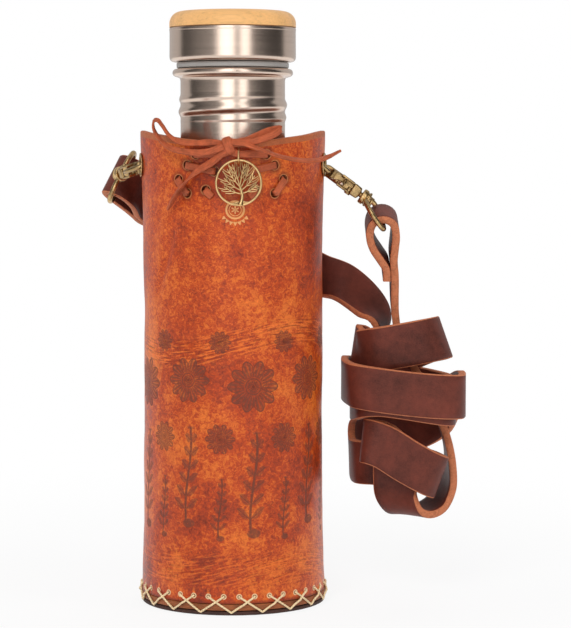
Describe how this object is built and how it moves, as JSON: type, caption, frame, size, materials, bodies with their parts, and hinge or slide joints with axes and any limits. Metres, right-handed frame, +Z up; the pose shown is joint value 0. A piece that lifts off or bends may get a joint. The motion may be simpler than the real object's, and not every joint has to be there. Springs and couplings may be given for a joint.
{
  "type": "bottle case",
  "caption": "Leather bottle sleeve with cross-stitched base, laced mouth, hanging charm and a wound shoulder strap on two snap hooks, holding a screw-cap steel bottle.",
  "frame": {"origin": "middle of the underside of the sole, on the axis of the sleeve", "axes": "+Z up along the sleeve, -Y the front with the bow and charm, +X the side where the wound strap hangs"},
  "size_m": [0.164, 0.1066, 0.261],
  "materials": {
    "case_leather": "marbled, waxed",
    "base_leather": "tan",
    "sole_leather": "dark",
    "waxed_thread": "waxed",
    "lace_leather": "matt",
    "strap_leather": "grained, dark",
    "antique_brass": "antique",
    "brushed_steel": "brushed",
    "bamboo": "satin",
    "plug_plastic": "matt",
    "seal_rubber": "matt"
  },
  "bodies": {
    "case": {"case_shell": "case_leather", "base_disc": "base_leather", "base_sole": "sole_leather", "base_thread": "waxed_thread", "seam_thread": "waxed_thread", "eyelet_right_front": "antique_brass", "eyelet_right_rear": "antique_brass", "eyelet_left_front": "antique_brass", "eyelet_left_rear": "antique_brass", "lace": "lace_leather"},
    "bottle": {"bottle_shell": "brushed_steel"},
    "seal": {"cap_seal": "seal_rubber"},
    "cap": {"cap_shell": "brushed_steel", "cap_top": "bamboo", "cap_plug": "plug_plastic"},
    "strap": {"strap": "strap_leather", "right_eye": "antique_brass", "left_eye": "antique_brass"},
    "right_hook": {"right_hook": "antique_brass", "right_gate_pin": "antique_brass", "right_gate_spring": "brushed_steel"},
    "right_gate": {"right_gate": "antique_brass"},
    "left_hook": {"left_hook": "antique_brass", "left_gate_pin": "antique_brass", "left_gate_spring": "brushed_steel"},
    "left_gate": {"left_gate": "antique_brass"},
    "charm": {"charm_ring": "antique_brass", "charm": "antique_brass"}
  },
  "joints": [
    {"name": "bottle_lift", "type": "slide", "parent": "case", "child": "bottle", "axis": [0, 0, 1], "range_m": [0, 0.215]},
    {"name": "cap_lift", "type": "slide", "parent": "bottle", "child": "seal", "axis": [0, 0, 1], "range_m": [0, 0.0093]},
    {"name": "cap_turn", "type": "hinge", "parent": "seal", "child": "cap", "pos_m": [0, 0, 0.245], "axis": [0, 0, 1], "range_deg": [0, 540]},
    {"name": "strap_swing", "type": "hinge", "parent": "case", "child": "strap", "pos_m": [0, 0, 0.193], "axis": [1, 0, 0], "range_deg": [0, 3]},
    {"name": "charm_swing", "type": "hinge", "parent": "case", "child": "charm", "pos_m": [0.0034, -0.04443, 0.19705], "axis": [-1, 0, 0], "range_deg": [-3, 60]},
    {"name": "right_hook_swivel", "type": "hinge", "parent": "strap", "child": "right_hook", "pos_m": [0.05826, 0, 0.17842], "axis": [0.809, 0, -0.5878], "range_deg": [-1.5, 1.5]},
    {"name": "right_gate_swing", "type": "hinge", "parent": "right_hook", "child": "right_gate", "pos_m": [0.0484, -0.00179, 0.18559], "axis": [-0.5878, 0, -0.809], "range_deg": [0, 15], "stiffness_Nm_per_rad": 0.02, "springref_deg": -8.59},
    {"name": "left_hook_swivel", "type": "hinge", "parent": "strap", "child": "left_hook", "pos_m": [-0.05086, 0.01942, 0.18874], "axis": [-0.4595, 0.8746, -0.1546], "range_deg": [-1.5, 1.5]},
    {"name": "left_gate_swing", "type": "hinge", "parent": "left_hook", "child": "left_gate", "pos_m": [-0.04675, 0.00789, 0.19012], "axis": [-0.319, 0, 0.9478], "range_deg": [0, 15], "stiffness_Nm_per_rad": 0.02, "springref_deg": -8.59}
  ],
  "couplings": [
    {"joint": "cap_lift", "follows": "cap_turn", "m_per_rad": 0.0009868}
  ]
}
